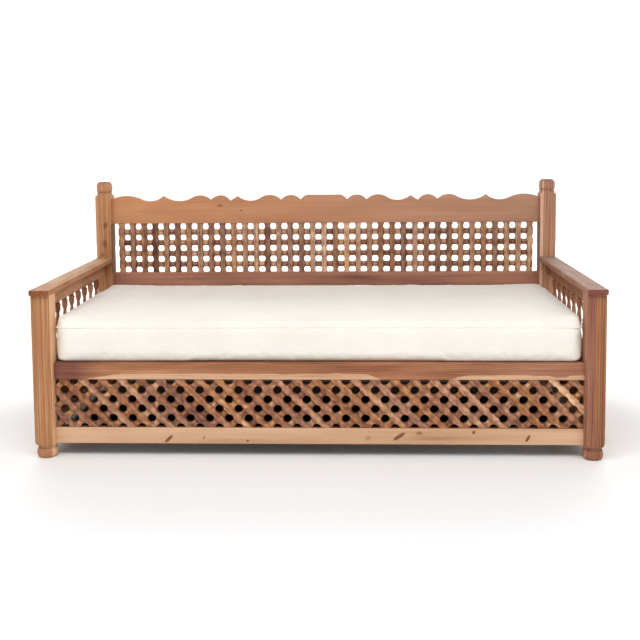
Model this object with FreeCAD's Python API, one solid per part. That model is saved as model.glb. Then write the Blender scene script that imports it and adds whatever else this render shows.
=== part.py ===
import FreeCAD, Part
import math
import os

# A wooden daybed with a lattice back, spindle arms and a loose mattress.
# All sizes are millimetres. +X runs along the seat, +Y from its front to its back, +Z up.
# The origin is on the floor, in the middle of the outline box.

# The frame as a whole
frame_width = 2000.0            # over the posts
frame_depth = 930.0             # front faces of the front posts to back faces of the back posts
arm_height = 605.0              # top of the arm caps
post_size = 68.0                # square section of every post

# Heights of the base, from the floor up
ground_gap = 48.0
lower_rail_height = 60.0
base_lattice_height = 172.0
seat_rail_height = 60.0

# Heights of the back, from its lowest rail up
back_rail_clearance = 136.0     # open slot between the seat's top and the back rail
back_rail_height = 60.0
back_lattice_height = 217.0
crest_height = 121.5            # crest rail at its humps
crest_wave = 24.0               # from a hump down to a valley of its outline

# Rails, their places in the posts and their joints
rail_thickness = 30.0
rail_setback = 24.0             # long rails, behind the posts' front faces
side_rail_thickness = 28.0
side_rail_setback = 4.0         # side rails, inside the posts' outer faces
tenon_length = 20.0
tenon_thickness = 12.0
tenon_shoulder = 8.0
rail_edge_chamfer = 2.5

# Turned feet and finials, cut from the square of the post
foot_height = 36.0
foot_radius = 37.5
foot_base_radius = 25.0
collar_height = 9.0
collar_radius = 32.5
groove_depth = 3.0
foot_shoulder_radius = 44.0     # half way up the swell from the collar to the square
foot_shoulder_height = 22.0
finial_height = 45.0
finial_radius = 34.0
finial_top_radius = 22.0
neck_height = 15.0
neck_radius = 32.0
shoulder_above_crest = 2.5
shoulder_chamfer = 6.0
turned_sides = 16               # facets round feet and finials

# Flutes down the faces that show
flute_count = 3
flute_spacing = 19.0
flute_width = 10.0
flute_floor = 4.0
flute_depth = 2.0

# Arms
arm_cap_width = 72.0
arm_cap_thickness = 20.0
arm_cap_front_overhang = 12.0
arm_cap_side_overhang = 2.0
arm_cap_edge_radius = 4.0
apron_height = 60.0
spindle_count = 8               # in each arm
spindle_ring_radius = 10.5
spindle_bulb_radius = 11.0
spindle_neck_radius = 6.8
spindle_belly_radius = 9.0
spindle_ring_height = 7.0
spindle_bulb_height = 22.0
spindle_groove_radius = 7.0
spindle_ring_flat_share = 0.75  # of the ring's height, before it runs in to the groove
spindle_bulb_rise_share = 0.33  # of the bulb's height, up to where it is widest
spindle_sides = 8

# Diagonal lattice of the base, a panel cut from larger stock, so its rows don't meet both rails evenly
base_row_height = 33.9
base_column_width = 34.5        # wished for, the nearest even spacing is used
base_first_row_gap = 5.6        # from the seat rail down to the first row of crossings

# Upright lattice of the back
back_strip_spacing = 49.7       # wished for, the nearest even spacing is used
back_lattice_end_gap = 26.5     # open slit between the outer strips and the posts
back_peg_rows = 4
back_peg_spacing = 47.6
back_peg_rise = 35.0            # lowest row of pegs, above the back rail

# Both lattices
strip_width = 22.0
strip_depth = 22.0              # front to back
peg_width = 28.0                # where a peg flares out against its strips
peg_waist = 2.75                # how far its long edges are drawn in half way between them
peg_depth = 18.0

# Deck and the board that closes the base at the back
slat_count = 12
slat_width = 100.0
slat_thickness = 18.0
ledger_size = 25.0
deck_clearance = 0.5
back_board_thickness = 10.0

# Mattress
mattress_band_height = 124.0    # from its bottom to the piped seam
mattress_crown = 28.0           # top panel above that seam
mattress_front_inset = 30.0     # behind the posts' front faces
mattress_back_gap = 10.0
mattress_side_gap = 4.0
mattress_corner_radius = 34.0
mattress_bottom_inset = 16.0
mattress_bottom_round = 22.0
mattress_draw_in = 7.0          # how far its sides pull in between the corners
mattress_crown_reach = 300.0    # how far in from the edge the top panel still rises
soft_clearance = 0.3

# Outline of half the crest rail, from its middle outwards: each step is a straight line or an arc.
# Its points are shares of the half length, and of the wave height below the humps.
crest_line_shares = [
    ("line", (0.060, 0.00)),
    ("arc", (0.092, -0.20), (0.109, -0.86)),
    ("arc", (0.155, 0.00), (0.201, -0.86)),
    ("arc", (0.245, 0.00), (0.296, -0.42)),
    ("arc", (0.340, -1.00), (0.406, -0.14)),
    ("line", (0.441, -1.00)),
    ("arc", (0.487, 0.00), (0.532, -0.84)),
    ("arc", (0.578, 0.00), (0.626, -0.46)),
    ("arc", (0.680, -1.00), (0.757, -0.06)),
    ("arc", (0.824, -1.00), (0.868, -0.56)),
    ("arc", (0.932, 0.00), (1.000, -0.54)),
]

# Section of the mattress above its seam: how far in, and how high, as shares of reach and crown.
crown_shares = [(0.00, 0.00), (0.05, 0.50), (0.25, 0.87), (1.00, 1.00)]

# Heights and places worked out from the sizes above
lower_rail_top = ground_gap + lower_rail_height
seat_rail_bottom = lower_rail_top + base_lattice_height
seat_top = seat_rail_bottom + seat_rail_height
back_rail_bottom = seat_top + back_rail_clearance
back_rail_top = back_rail_bottom + back_rail_height
crest_bottom = back_rail_top + back_lattice_height
crest_top = crest_bottom + crest_height
cap_bottom = arm_height - arm_cap_thickness
apron_bottom = cap_bottom - apron_height
shoulder_top = crest_top + shoulder_above_crest
half_width = frame_width / 2
inner_x = half_width - post_size
front_y = -(frame_depth - arm_cap_front_overhang) / 2
back_y = front_y + frame_depth
front_post_back_y = front_y + post_size
back_post_front_y = back_y - post_size
front_rail_y = front_y + rail_setback
back_rail_y = back_post_front_y + rail_setback
side_rail_x = half_width - side_rail_setback - side_rail_thickness / 2
side_clear = back_post_front_y - front_post_back_y

UP = FreeCAD.Vector(0, 0, 1)
sides = {"left": -1, "right": 1}


def point(x, y, z):
    return FreeCAD.Vector(x, y, z)


def box(low, high):
    """A block between two opposite corners."""
    size = [b - a for a, b in zip(low, high)]
    return Part.makeBox(*size, point(*low))


def bevel_long_edges(solid, along):
    """Takes off the edges that run in one direction, as a plane does on a rail."""
    edges = []
    for edge in solid.Edges:
        run = edge.Vertexes[1].Point.sub(edge.Vertexes[0].Point)
        if abs(run.normalize().dot(along)) > 1 / math.sqrt(2):
            edges.append(edge)
    return solid.makeChamfer(rail_edge_chamfer, edges)


def extruded(edges, direction):
    return Part.Face(Part.Wire(edges)).extrude(direction)


def polygon(points):
    return Part.Face(Part.makePolygon(points + points[:1]))


def line(a, b):
    return Part.LineSegment(a, b).toShape()


def arc(a, via, b):
    return Part.Arc(a, via, b).toShape()


def swell(low, wide_radius, high, steps):
    """Places up a curve from one (radius, height) to another, through a radius half way up."""
    places = []
    for step in range(steps + 1):
        t = step / steps
        radius = low[0] * (1 - t) * (1 - 2 * t) + wide_radius * 4 * t * (1 - t) + high[0] * t * (2 * t - 1)
        places.append((radius, low[1] + t * (high[1] - low[1])))
    return places


def turned(outline, facets, centre_x, centre_y):
    """A turned piece round an upright axis: flat facets between rings of (radius, height)."""
    step = 2 * math.pi / facets
    angles = [step * (index + 0.5) for index in range(facets)]
    rings = []
    for radius, z in outline:
        reach = radius / math.cos(step / 2)
        corners = [(centre_x + reach * math.cos(a), centre_y + reach * math.sin(a)) for a in angles]
        rings.append([point(x, y, z) for x, y in corners])
    faces = [polygon(rings[0]), polygon(rings[-1])]
    for lower, upper in zip(rings, rings[1:]):
        for index in range(facets):
            faces.append(polygon([lower[index - 1], lower[index], upper[index], upper[index - 1]]))
    shell = Part.makeShell(faces)
    shell.sewShape()
    solid = Part.makeSolid(shell)
    if solid.Volume < 0:
        solid.reverse()
    return solid


# Posts


def foot_outline():
    """Bun foot, groove and collar, and the shoulder that swells out past the square's corners."""
    bun_top = (collar_radius, foot_height - groove_depth)
    dip = (collar_radius - groove_depth, foot_height)
    ring = (collar_radius, foot_height + groove_depth)
    collar = (collar_radius, foot_height + collar_height)
    shoulder = (post_size, foot_height + collar_height + foot_shoulder_height)
    bun = swell((foot_base_radius, 0), foot_radius, bun_top, 4)
    return bun + [dip, ring] + swell(collar, foot_shoulder_radius, shoulder, 3)


def finial_outline():
    """Bevelled shoulder, neck, groove and the bun with its flat top."""
    bun_bottom = shoulder_top + neck_height
    neck = [(post_size, shoulder_top - shoulder_chamfer), (neck_radius, shoulder_top)]
    neck += [(neck_radius, bun_bottom - groove_depth), (neck_radius - groove_depth, bun_bottom)]
    low = (neck_radius, bun_bottom + groove_depth)
    return neck + swell(low, finial_radius, (finial_top_radius, bun_bottom + finial_height), 4)


def flute(x, y, along, inward, bottom, top):
    """The cutter of one flute: a shallow trough with a flat floor, running up a face."""
    mouth, floor = along * flute_width / 2, along * flute_floor / 2
    on_face = point(x, y, bottom)
    deep = on_face + inward * flute_depth
    section = polygon([on_face - mouth, on_face + mouth, deep + floor, deep - floor])
    return section.extrude(UP * (top - bottom))


def cut_flutes(post, centre_x, centre_y, outward, top):
    """Flutes on the front face and on the outer side face."""
    half = post_size / 2
    bottom = foot_height + collar_height
    cutters = []
    for index in range(flute_count):
        shift = (index - (flute_count - 1) / 2) * flute_spacing
        front = (centre_x + shift, centre_y - half, point(1, 0, 0), point(0, 1, 0))
        outer = (centre_x + outward * half, centre_y + shift, point(0, 1, 0), point(-outward, 0, 0))
        cutters += [flute(*place, bottom, top) for place in (front, outer)]
    return post.cut(cutters)


def post(outward, is_back):
    centre_x = outward * (half_width - post_size / 2)
    centre_y = (back_y if is_back else front_post_back_y) - post_size / 2
    ends = finial_outline() if is_back else [(post_size, cap_bottom)]
    spun = turned(foot_outline() + ends, turned_sides, centre_x, centre_y)
    half = post_size / 2
    top = ends[-1][1]
    square = box((centre_x - half, centre_y - half, 0), (centre_x + half, centre_y + half, top))
    body = square.common(spun)
    body = cut_flutes(body, centre_x, centre_y, outward, shoulder_top if is_back else cap_bottom)
    face_x = outward * inner_x
    mortises = []
    for low, high in (BACK_TENONS if is_back else FRONT_TENONS):
        plane = back_rail_y if is_back else front_rail_y
        mortises.append(long_tenon(face_x, outward, plane + rail_thickness / 2, low, high))
    for low, high in SIDE_TENONS:
        face_y = back_post_front_y if is_back else front_post_back_y
        mortises.append(side_tenon(outward, face_y, 1 if is_back else -1, low, high))
    return body.cut(mortises)


# Rails and their tenons


def long_tenon(face_x, outward, centre_y, low, high):
    """The tenon of a long rail, as a block that runs into the post from its inner face."""
    half = tenon_thickness / 2
    ends = sorted((face_x, face_x + outward * tenon_length))
    return box((ends[0], centre_y - half, low), (ends[1], centre_y + half, high))


def side_tenon(outward, face_y, direction, low, high):
    half = tenon_thickness / 2
    centre_x = outward * side_rail_x
    ends = sorted((face_y, face_y + direction * tenon_length))
    return box((centre_x - half, ends[0], low), (centre_x + half, ends[1], high))


def tenon_span(low, high):
    return low + tenon_shoulder, high - tenon_shoulder


def long_rail(y, low, high):
    """A rail between two posts, along X, with a tenon at each end."""
    bar = box((-inner_x, y, low), (inner_x, y + rail_thickness, high))
    bar = bevel_long_edges(bar, point(1, 0, 0))
    return add_long_tenons(bar, y, tenon_span(low, high))


def add_long_tenons(bar, y, span):
    for outward in sides.values():
        bar = bar.fuse(long_tenon(outward * inner_x, outward, y + rail_thickness / 2, *span))
    return bar.removeSplitter()


def side_rail(outward, low, high):
    """A rail from a front post to a back post, along Y."""
    half = side_rail_thickness / 2
    centre_x = outward * side_rail_x
    bar = box((centre_x - half, front_post_back_y, low), (centre_x + half, back_post_front_y, high))
    bar = bevel_long_edges(bar, point(0, 1, 0))
    span = tenon_span(low, high)
    bar = bar.fuse(side_tenon(outward, front_post_back_y, -1, *span))
    bar = bar.fuse(side_tenon(outward, back_post_front_y, 1, *span))
    return bar.removeSplitter()


def crest_edges(outward):
    """Scalloped outline from the middle to one end, at the rail's front plane."""
    def place(share):
        return point(outward * share[0] * inner_x, back_rail_y, crest_top + share[1] * crest_wave)

    here = place((0, 0))
    edges = []
    for step in crest_line_shares:
        there = place(step[-1])
        if step[0] == "arc":
            edges.append(arc(here, place(step[1]), there))
        else:
            edges.append(line(here, there))
        here = there
    return edges, here


def crest_rail():
    right, right_end = crest_edges(1)
    left, left_end = crest_edges(-1)
    low_right = point(inner_x, back_rail_y, crest_bottom)
    low_left = point(-inner_x, back_rail_y, crest_bottom)
    edges = right + [line(right_end, low_right), line(low_right, low_left), line(low_left, left_end)] + left
    board = extruded(Part.__sortEdges__(edges), point(0, rail_thickness, 0))
    return add_long_tenons(board, back_rail_y, crest_tenon_span())


def crest_end_top():
    return crest_top + crest_line_shares[-1][-1][1] * crest_wave


def crest_tenon_span():
    return crest_bottom + tenon_shoulder, crest_end_top() - tenon_shoulder


BASE_TENONS = [tenon_span(ground_gap, lower_rail_top), tenon_span(seat_rail_bottom, seat_top)]
FRONT_TENONS = BASE_TENONS
BACK_TENONS = BASE_TENONS + [tenon_span(back_rail_bottom, back_rail_top), crest_tenon_span()]
SIDE_TENONS = BASE_TENONS + [tenon_span(apron_bottom, cap_bottom)]


# Arms


def rounded_section(corners, radii, into_plane):
    """A board's end seen square on, each corner rounded by its own radius, zero for a sharp one."""
    edges = []
    starts, stops = [], []
    for index, (corner, radius) in enumerate(zip(corners, radii)):
        before = (corners[index - 1] - corner).normalize()
        after = (corners[(index + 1) % len(corners)] - corner).normalize()
        starts.append(corner + before * radius)
        stops.append(corner + after * radius)
        if radius:
            middle = corner + (before + after) * (radius * (1 - math.sqrt(0.5)))
            edges.append(arc(starts[-1], middle, stops[-1]))
    for index in range(len(corners)):
        edges.append(line(stops[index - 1], starts[index]))
    return Part.Face(Part.Wire(Part.__sortEdges__(edges))).extrude(into_plane)


def arm_cap(outward):
    """Flat board over the front post, back to the back post, its long edges and its front end rounded."""
    outer = half_width + arm_cap_side_overhang
    x0, x1 = sorted((outward * (outer - arm_cap_width), outward * outer))
    y0, y1 = front_y - arm_cap_front_overhang, back_post_front_y
    radius = arm_cap_edge_radius
    z0, z1 = cap_bottom, arm_height
    across = [point(x, y0, z) for x, z in ((x0, z0), (x1, z0), (x1, z1), (x0, z1))]
    back = [point(x0, y, z) for y, z in ((y0, z0), (y1, z0), (y1, z1), (y0, z1))]
    board = rounded_section(across, [radius] * 4, point(0, y1 - y0, 0))
    return board.common(rounded_section(back, [radius, 0, 0, radius], point(x1 - x0, 0, 0)))


def spindle_outline():
    """Ring, groove and bulb at both ends, with a slender belly between."""
    ring_top = spindle_ring_height * spindle_ring_flat_share
    groove = spindle_ring_height
    bulb = groove + spindle_bulb_height * spindle_bulb_rise_share
    neck = groove + spindle_bulb_height
    radii = [spindle_ring_radius, spindle_ring_radius, spindle_groove_radius, spindle_bulb_radius]
    half = list(zip(radii + [spindle_neck_radius], [0, ring_top, groove, bulb, neck]))
    lower = [(radius, seat_top + rise) for radius, rise in half]
    upper = [(radius, apron_bottom - rise) for radius, rise in reversed(half)]
    return lower + [(spindle_belly_radius, (seat_top + apron_bottom) / 2)] + upper


def spindle_places():
    pitch = side_clear / (spindle_count + 1)
    return [front_post_back_y + pitch * (index + 1) for index in range(spindle_count)]


def arm_spindles(outward):
    outline = spindle_outline()
    return [turned(outline, spindle_sides, outward * side_rail_x, y) for y in spindle_places()]


# Diagonal lattice of the base


class Diagonals:
    """A grid of half diamonds over an upright opening that starts at (0, 0) and is length by height."""

    def __init__(self, length, height):
        self.length = length
        self.height = height
        self.step_z = base_row_height
        self.rows = math.ceil((height - base_first_row_gap) / self.step_z)
        self.low = height - base_first_row_gap - self.rows * self.step_z
        self.columns = max(2, round(length / base_column_width))
        self.step_x = length / self.columns
        self.diagonal = math.hypot(self.step_x, self.step_z)
        self.falling = (self.step_x / self.diagonal, -self.step_z / self.diagonal)
        self.rising = (self.step_x / self.diagonal, self.step_z / self.diagonal)
        cross = 2 * self.step_x * self.step_z / self.diagonal ** 2
        self.strip_reach = strip_width / 2 / cross
        self.peg_reach = peg_width / 2 / cross

    def at(self, start, along_falling, along_rising):
        """A place at distances along the two directions of the bars, from a start."""
        x = start[0] + along_falling * self.falling[0] + along_rising * self.rising[0]
        z = start[1] + along_falling * self.falling[1] + along_rising * self.rising[1]
        return x, z

    def strip_outlines(self):
        """Falling strips, corner to corner, longer than the opening at both ends."""
        reach = self.diagonal * (self.rows + 2)
        outlines = []
        for column in range(0, self.columns + self.rows + 1, 2):
            foot = (column * self.step_x, self.low)
            corners = [(self.diagonal, 1), (self.diagonal, -1), (-reach, -1), (-reach, 1)]
            outlines.append([self.at(foot, a, side * self.strip_reach) for a, side in corners])
        return outlines

    def pegs(self):
        """Rising pegs, one in every other cell, from strip to strip."""
        half = self.diagonal / 2 - self.strip_reach
        for row in range(self.rows):
            for column in range(self.columns):
                if (row + column) % 2 == 0:
                    centre = ((column + 0.5) * self.step_x, self.low + (row + 0.5) * self.step_z)
                    yield centre, half


def lattice_placer(origin, along):
    """Turns a place in the opening's plane, and a depth, into a place in space."""
    across = point(0, 1, 0) if along.x else point(1, 0, 0)

    def place(xz, depth):
        return origin + along * xz[0] + UP * xz[1] + across * depth

    return place, across


def opening_block(grid, place):
    """The space between the rails and posts, as deep as the strips, which cuts what reaches past it."""
    low, high = place((0, 0), -strip_depth / 2), place((grid.length, grid.height), strip_depth / 2)
    return box(tuple(low), tuple(high))


def base_strips(grid, origin, along):
    place, across = lattice_placer(origin, along)
    opening = opening_block(grid, place)
    strips = []
    for outline in grid.strip_outlines():
        face = polygon([place(corner, -strip_depth / 2) for corner in outline])
        strips.append(face.extrude(across * strip_depth).common(opening))
    return strips


def waisted_peg(corners, waists, through):
    """A peg from its outline seen flat: straight ends, and long edges drawn in half way along."""
    first, second, third, fourth = corners
    return polygon([first, waists[0], second, third, waists[1], fourth]).extrude(through)


def base_pegs(grid, origin, along):
    place, across = lattice_placer(origin, along)
    opening = opening_block(grid, place)
    depth = -peg_depth / 2
    wide = grid.peg_reach
    narrow = wide - peg_waist
    pegs = []
    for centre, half in grid.pegs():
        corners = [(-wide, -half), (-wide, half), (wide, half), (wide, -half)]
        flat = [place(grid.at(centre, *corner), depth) for corner in corners]
        waists = [place(grid.at(centre, side, 0), depth) for side in (-narrow, narrow)]
        pegs.append(waisted_peg(flat, waists, across * peg_depth).common(opening))
    return pegs


front_grid = Diagonals(2 * inner_x, base_lattice_height)
front_origin = point(-inner_x, front_rail_y + rail_thickness / 2, lower_rail_top)
side_grid = Diagonals(side_clear, base_lattice_height)


def side_origin(outward):
    return point(outward * side_rail_x, front_post_back_y, lower_rail_top)


# Upright lattice of the back


def back_strip_places():
    span = 2 * inner_x - 2 * back_lattice_end_gap - strip_width
    gaps = max(1, round(span / back_strip_spacing))
    return [-span / 2 + span * index / gaps for index in range(gaps + 1)]


def back_strips():
    middle = back_rail_y + rail_thickness / 2
    half = strip_width / 2
    strips = []
    for x in back_strip_places():
        low = (x - half, middle - strip_depth / 2, back_rail_top)
        high = (x + half, middle + strip_depth / 2, crest_bottom)
        strips.append(box(low, high))
    return strips


def back_pegs():
    depth_y = back_rail_y + rail_thickness / 2 - peg_depth / 2
    through = point(0, peg_depth, 0)
    places = back_strip_places()
    pegs = []
    for row in range(back_peg_rows):
        z = back_rail_top + back_peg_rise + row * back_peg_spacing
        low, high = z - peg_width / 2, z + peg_width / 2
        for left, right in zip(places, places[1:]):
            x0, x1 = left + strip_width / 2, right - strip_width / 2
            middle = (x0 + x1) / 2
            flat = [point(x, depth_y, h) for x, h in ((x0, low), (x1, low), (x1, high), (x0, high))]
            waists = [point(middle, depth_y, h) for h in (low + peg_waist, high - peg_waist)]
            pegs.append(waisted_peg(flat, waists, through))
    return pegs


# Deck


def deck_slats():
    """Boards from the front rail to the back rail, evenly spread between the posts."""
    front = front_rail_y + rail_thickness + deck_clearance
    back = back_rail_y - deck_clearance
    gap = (2 * inner_x - slat_count * slat_width) / (slat_count + 1)
    slats = []
    for index in range(slat_count):
        x = -inner_x + gap + index * (slat_width + gap)
        slats.append(box((x, front, seat_top - slat_thickness), (x + slat_width, back, seat_top)))
    return slats


def ledger(y):
    """The bar under the slats' ends, fixed to the inside of a seat rail."""
    top = seat_top - slat_thickness
    return box((-inner_x, y, top - ledger_size), (inner_x, y + ledger_size, top))


def back_board():
    middle = back_rail_y + rail_thickness / 2
    half = back_board_thickness / 2
    return box((-inner_x, middle - half, lower_rail_top), (inner_x, middle + half, seat_rail_bottom))


# Mattress


def mattress_ring(inset, z):
    """A rounded rectangle whose sides pull in a little between its corners."""
    x1 = inner_x - mattress_side_gap - inset
    y0 = front_y + mattress_front_inset + inset
    y1 = back_rail_y - mattress_back_gap - inset
    half_y = (y1 - y0) / 2
    middle = point(0, (y0 + y1) / 2, z)
    corner = mattress_corner_radius
    bend = corner * (1 - math.sqrt(0.5))
    edges = []
    for turn_x, turn_y in ((1, -1), (1, 1), (-1, 1), (-1, -1)):
        spots = [(x1, half_y - corner), (x1 - bend, half_y - bend), (x1 - corner, half_y)]
        side = [point(turn_x * x, turn_y * y, 0) for x, y in spots]
        if turn_x == turn_y:
            edges.append([middle + spot for spot in side])
        else:
            edges.append([middle + spot for spot in reversed(side)])
    pulls = [point(x1 - mattress_draw_in, 0, 0), point(0, half_y - mattress_draw_in, 0)]
    pulls += [point(mattress_draw_in - x1, 0, 0), point(0, mattress_draw_in - half_y, 0)]
    wire = []
    for index, bent in enumerate(edges):
        following = edges[(index + 1) % len(edges)]
        wire.append(arc(*bent))
        wire.append(arc(bent[-1], middle + pulls[index], following[0]))
    return Part.Wire(wire)


def mattress():
    bottom = seat_top + soft_clearance
    seam = bottom + mattress_band_height
    rings = [mattress_ring(mattress_bottom_inset, bottom), mattress_ring(0, bottom + mattress_bottom_round)]
    for inward, up in crown_shares:
        rings.append(mattress_ring(inward * mattress_crown_reach, seam + up * mattress_crown))
    return Part.makeLoft(rings, True, True)


def numbered(name, pieces):
    """Like pieces, each under its own name, counted from one."""
    return {name + "_" + str(index + 1): piece for index, piece in enumerate(pieces)}


def all_nodes():
    nodes = {
        "front_seat_rail": long_rail(front_rail_y, seat_rail_bottom, seat_top),
        "front_lower_rail": long_rail(front_rail_y, ground_gap, lower_rail_top),
        "back_seat_rail": long_rail(back_rail_y, seat_rail_bottom, seat_top),
        "back_lower_rail": long_rail(back_rail_y, ground_gap, lower_rail_top),
        "back_rail": long_rail(back_rail_y, back_rail_bottom, back_rail_top),
        "crest_rail": crest_rail(),
        "front_lattice_strips": base_strips(front_grid, front_origin, point(1, 0, 0)),
        "front_lattice_pegs": base_pegs(front_grid, front_origin, point(1, 0, 0)),
        "back_lattice_strips": back_strips(),
        "back_lattice_pegs": back_pegs(),
        "back_board": back_board(),
        "front_ledger": ledger(front_rail_y + rail_thickness),
        "back_ledger": ledger(back_rail_y - ledger_size),
        "mattress": mattress(),
    }
    nodes.update(numbered("deck_slat", deck_slats()))
    for side, outward in sides.items():
        nodes["front_post_" + side] = post(outward, False)
        nodes["back_post_" + side] = post(outward, True)
        nodes["side_seat_rail_" + side] = side_rail(outward, seat_rail_bottom, seat_top)
        nodes["side_lower_rail_" + side] = side_rail(outward, ground_gap, lower_rail_top)
        nodes["arm_apron_" + side] = side_rail(outward, apron_bottom, cap_bottom)
        nodes["arm_cap_" + side] = arm_cap(outward)
        nodes.update(numbered("arm_spindle_" + side, arm_spindles(outward)))
        nodes["side_lattice_strips_" + side] = base_strips(side_grid, side_origin(outward), point(0, 1, 0))
        nodes["side_lattice_pegs_" + side] = base_pegs(side_grid, side_origin(outward), point(0, 1, 0))
    return nodes


os.makedirs("parts", exist_ok=True)
for name, made in all_nodes().items():
    shape = Part.makeCompound(made) if isinstance(made, list) else made
    shape.exportStep(os.path.join("parts", name + ".step"))
    print(name, len(shape.Solids), "solids", "valid" if shape.isValid() else "NOT VALID")
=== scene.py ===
import math
import random

import bmesh
import bpy
from mathutils import Matrix, Vector


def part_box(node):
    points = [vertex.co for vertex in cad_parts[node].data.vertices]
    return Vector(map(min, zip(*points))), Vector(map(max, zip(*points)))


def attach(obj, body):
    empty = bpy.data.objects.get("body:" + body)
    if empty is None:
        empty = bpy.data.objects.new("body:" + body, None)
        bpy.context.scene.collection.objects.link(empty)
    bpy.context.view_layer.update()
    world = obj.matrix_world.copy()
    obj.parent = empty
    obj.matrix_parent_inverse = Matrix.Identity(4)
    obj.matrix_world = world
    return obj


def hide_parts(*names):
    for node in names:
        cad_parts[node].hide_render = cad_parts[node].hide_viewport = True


# A wooden daybed with a lattice back, spindle arms and a loose mattress.
# Everything is in metres, in the frame of the model: +X along the seat, +Y to the back, +Z up.

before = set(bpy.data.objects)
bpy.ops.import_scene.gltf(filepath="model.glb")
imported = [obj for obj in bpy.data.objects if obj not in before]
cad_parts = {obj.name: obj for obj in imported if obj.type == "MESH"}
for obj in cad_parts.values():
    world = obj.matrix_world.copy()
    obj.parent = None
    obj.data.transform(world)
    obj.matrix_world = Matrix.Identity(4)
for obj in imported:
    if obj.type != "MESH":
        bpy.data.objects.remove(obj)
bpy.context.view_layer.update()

MM = 0.001
SIDES = ("left", "right")
X_AXIS, Y_AXIS, Z_AXIS = Vector((1, 0, 0)), Vector((0, 1, 0)), Vector((0, 0, 1))
# The sides of a square, anticlockwise: each one's name, the way that it faces, and the way along it
FACES = [("front", (0, -1), (1, 0)), ("right", (1, 0), (0, 1)), ("back", (0, 1), (-1, 0)), ("left", (-1, 0), (0, -1))]


# Places read from the frame

def low(node):
    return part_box(node)[0]


def high(node):
    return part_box(node)[1]


def centre(node, axis):
    return (low(node)[axis] + high(node)[axis]) / 2


def foot(node):
    return Vector((centre(node, 0), centre(node, 1), 0))


POST = high("front_post_left").x - low("front_post_left").x
INNER_X = low("front_post_right").x
SEAT_TOP = high("front_seat_rail").z
BASE_OPENING = (high("front_lower_rail").z, low("front_seat_rail").z)
BACK_OPENING = (high("back_rail").z, low("crest_rail").z)
FINIAL_HEIGHT = 60 * MM
SHOULDER_TOP = high("back_post_left").z - FINIAL_HEIGHT
STRIP_DEPTH = high("back_lattice_strips").y - low("back_lattice_strips").y
FRONT_LATTICE_Y = centre("front_lattice_strips", 1)
BACK_LATTICE_Y = centre("back_lattice_strips", 1)


# Meshes

class Shape:
    """Points and faces of one piece. Each point has its place in the wood, its stick's tone and its shade and grime:
    painted shade with dirt.
    """

    def __init__(self, *contents):
        self.points, self.faces, self.grain, self.tones, self.shade_and_grime = [], [], [], [], []
        if contents:
            self.add(*contents)

    def add(self, points, faces, grain, tone=0.5, shade_and_grime=None):
        start = len(self.points)
        self.points += points
        self.faces += [[start + index for index in face] for face in faces]
        self.grain += grain
        self.tones += tone if isinstance(tone, list) else [tone] * len(points)
        self.shade_and_grime += shade_and_grime or [0.0] * len(points)

    def piece(self, name, slot, material, body="frame", replaces=(), sharp=50):
        mesh = bpy.data.meshes.new(name)
        mesh.from_pydata(self.points, [], self.faces)
        grain = mesh.attributes.new("grain", "FLOAT_VECTOR", "POINT")
        grain.data.foreach_set("vector", [x for place in self.grain for x in place])
        mesh.attributes.new("tone", "FLOAT", "POINT").data.foreach_set("value", self.tones)
        # painted shade with dirt, per point
        mesh.attributes.new("shade_and_grime", "FLOAT", "POINT").data.foreach_set("value", self.shade_and_grime)
        return dress(name, mesh, material, body, replaces, sharp)


def placed(name, data):
    """A new object of this data, in the scene."""
    thing = bpy.data.objects.new(name, data)
    bpy.context.scene.collection.objects.link(thing)
    return thing


def dress(name, mesh, material, body, replaces, sharp):
    """Makes the piece of a mesh: smooth shading but for sharp edges, material, body and CAD nodes."""
    shaded = bmesh.new()
    shaded.from_mesh(mesh)
    bmesh.ops.recalc_face_normals(shaded, faces=shaded.faces)
    for edge in shaded.edges:
        if len(edge.link_faces) == 2:
            edge.smooth = edge.calc_face_angle(0) < math.radians(sharp)
    for face in shaded.faces:
        face.smooth = True
    shaded.to_mesh(mesh)
    shaded.free()
    piece = placed(name, mesh)
    mesh.materials.append(material)
    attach(piece, body)
    if replaces:
        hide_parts(*replaces)
    return piece


def wall_faces(rings, around, closed=False):
    """Faces between rings of points, and from the last ring to the first if the tube closes on itself."""
    faces = []
    for row in range(rings if closed else rings - 1):
        here, there = row * around, (row + 1) % rings * around
        for i in range(around):
            after = (i + 1) % around
            faces.append([here + after, here + i, there + i, there + after])
    return faces


def tube_faces(rings, around):
    """The same, with a cap on each end."""
    last = rings * around - 1
    return [list(range(around))] + wall_faces(rings, around) + [[last - i for i in range(around)]]


def curve_through(places, steps, base=0.0):
    """A smooth line of (radius, height over a base) through places in millimetres. One given twice is a corner."""
    line = []
    for index in range(len(places) - 1):
        a, b = places[index], places[index + 1]
        if a == b:
            continue
        before = places[index - 1] if index and places[index - 1] != a else a
        after = places[index + 2] if index + 2 < len(places) and places[index + 2] != b else b
        for step in range(steps):
            t = step / steps
            line.append(tuple(0.5 * (2 * q + (r - p) * t + (2 * p - 5 * q + 4 * r - s) * t ** 2
                                     + (3 * q - p - 3 * r + s) * t ** 3)
                              for p, q, r, s in zip(before, a, b, after)))
    return [(radius * MM, base + height * MM) for radius, height in line + [places[-1]]]


# Chance, in one fixed order

chance = random.Random(41)


def wood_place():
    """Where in the tree a stick was cut: an offset of its grain."""
    return Vector((chance.uniform(0, 9), chance.uniform(-0.4, 0.4), chance.uniform(0.02, 0.2)))


def grain_at(along, across, depth, cut):
    return (along + cut.x, across + cut.y, depth + cut.z)


# Turned pieces

# Turned pieces are darker in their grooves and joints: painted shade with dirt.
GROOVE_REACH = 4 * MM
GROOVE_DEPTH = 7 * MM
JOINT_SHADE_AND_GRIME = 1.35  # painted shade and dirt in the joints at the ends of pegs
JOINT_REACH = 6 * MM


def hollows(outline):
    """How deep each ring of a turned piece lies in a groove, from 0 to 1."""
    depths = []
    for radius, run in outline:
        widest = max(other for other, place in outline if abs(place - run) < GROOVE_REACH)
        depths.append(min(1.0, (widest - radius) / GROOVE_DEPTH))
    return depths


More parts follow.
